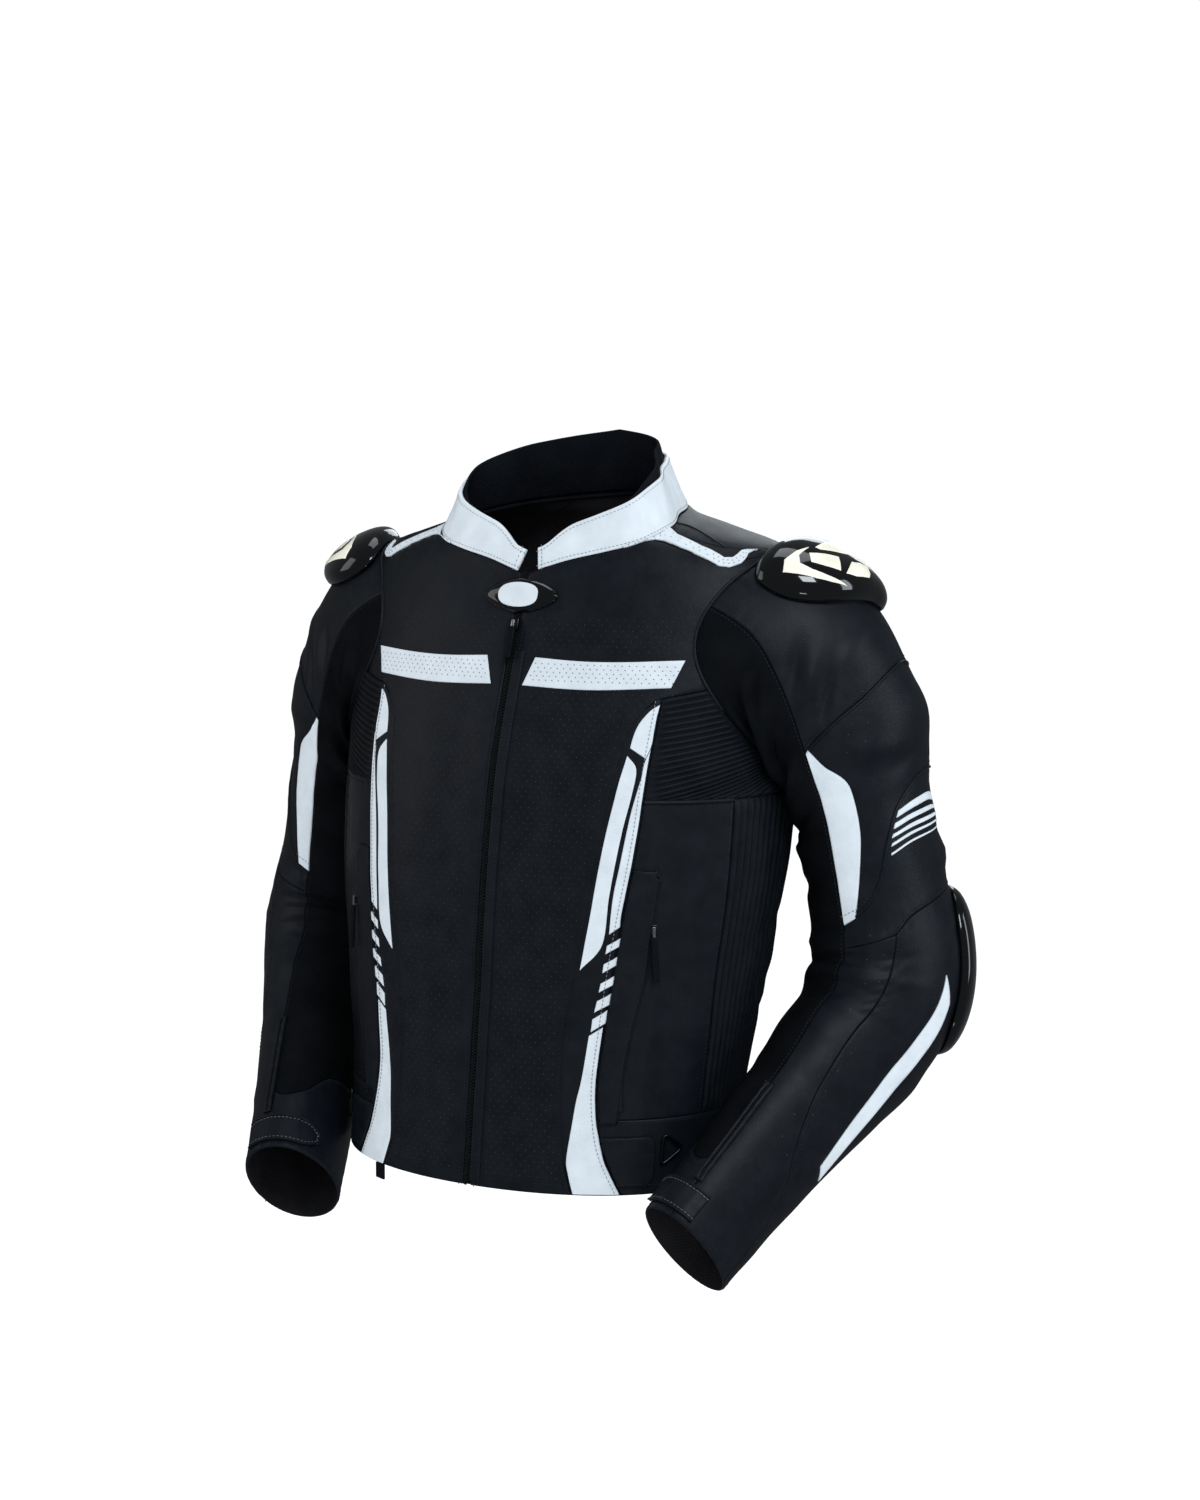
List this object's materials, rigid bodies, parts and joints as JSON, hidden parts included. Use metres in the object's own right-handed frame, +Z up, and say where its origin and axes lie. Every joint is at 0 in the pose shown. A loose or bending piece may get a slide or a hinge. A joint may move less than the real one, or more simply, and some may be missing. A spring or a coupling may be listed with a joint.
{
  "type": "motorcycle jacket",
  "caption": "Fitted leather motorcycle jacket, worn shape: stand collar, front zip, ribbed stretch side and inner-arm panels, hard shoulder and elbow cups, bent sleeves.",
  "frame": {"origin": "between the shoulders at the foot of the collar at the side of the neck, where the wearer holds the jacket up", "axes": "+X towards the wearer's left, front towards -Y, +Z up"},
  "size_m": [0.695, 0.3249, 0.6897],
  "materials": {
    "black_leather": "matte grained cowhide, semi-aniline",
    "white_leather": "smooth coated cowhide",
    "stretch_knit": "ribbed aramid stretch knit",
    "collar_knit": "soft neoprene-backed knit",
    "zip_tape": "woven zip tape and moulded teeth",
    "gloss_cup": "high gloss moulded",
    "elbow_plastic": "satin moulded polyurethane",
    "puller": "moulded rubber",
    "metal": "nickel plated"
  },
  "bodies": {
    "jacket": {"back": "black_leather", "collar": "white_leather", "collar_inner": "collar_knit", "cuff_inner_left": "black_leather", "cuff_inner_right": "black_leather", "cuff_tab_left": "black_leather", "cuff_tab_right": "black_leather", "cuff_zip_left": "black_leather", "cuff_zip_right": "black_leather", "elbow_slider_left": "elbow_plastic", "elbow_slider_right": "elbow_plastic", "forearm_front_left": "black_leather", "forearm_front_right": "black_leather", "forearm_outer_left": "black_leather", "forearm_outer_right": "black_leather", "front_left": "black_leather", "front_right": "black_leather", "hem_band_left": "black_leather", "hem_band_right": "black_leather", "hem_loop": "puller", "pocket_slider_left": "metal", "pocket_slider_right": "metal", "pocket_welt_left": "black_leather", "pocket_welt_right": "black_leather", "shoulder_cup_left": "gloss_cup", "shoulder_cup_right": "gloss_cup", "shoulder_trim_left": "white_leather", "shoulder_trim_right": "white_leather", "shoulder_yoke_left": "black_leather", "shoulder_yoke_right": "black_leather", "side_accordion_left": "stretch_knit", "side_accordion_right": "stretch_knit", "side_insert_left": "white_leather", "side_insert_right": "white_leather", "side_panel_left": "black_leather", "side_panel_right": "black_leather", "side_strip_left": "stretch_knit", "side_strip_right": "stretch_knit", "sleeve_cap_left": "black_leather", "sleeve_cap_right": "black_leather", "sleeve_elbow_left": "black_leather", "sleeve_elbow_right": "black_leather", "sleeve_insert_left": "white_leather", "sleeve_insert_right": "white_leather", "sleeve_mid_left": "black_leather", "sleeve_mid_right": "black_leather", "sleeve_stretch_left": "stretch_knit", "sleeve_stretch_right": "stretch_knit", "waist_ring_left": "metal", "waist_ring_right": "metal", "waist_tab_left": "black_leather", "waist_tab_right": "black_leather", "zip_badge": "gloss_cup", "zip_chain": "zip_tape", "zip_slider": "metal"},
    "zip_pull_tag": {"zip_pull": "puller"},
    "pocket_pull_left_tag": {"pocket_pull_left": "puller"},
    "pocket_pull_right_tag": {"pocket_pull_right": "puller"}
  },
  "joints": [
    {"name": "zip_pull_swing", "type": "hinge", "parent": "jacket", "child": "zip_pull_tag", "pos_m": [0, -0.13124, -0.08748], "axis": [-1, 0, 0], "range_deg": [0, 150]},
    {"name": "pocket_pull_left_swing", "type": "hinge", "parent": "jacket", "child": "pocket_pull_left_tag", "pos_m": [0.14508, -0.15567, -0.32862], "axis": [-0.8395, -0.5417, -0.042], "range_deg": [0, 160]},
    {"name": "pocket_pull_right_swing", "type": "hinge", "parent": "jacket", "child": "pocket_pull_right_tag", "pos_m": [-0.14508, -0.15567, -0.32862], "axis": [-0.8395, 0.5417, 0.042], "range_deg": [0, 160]}
  ]
}
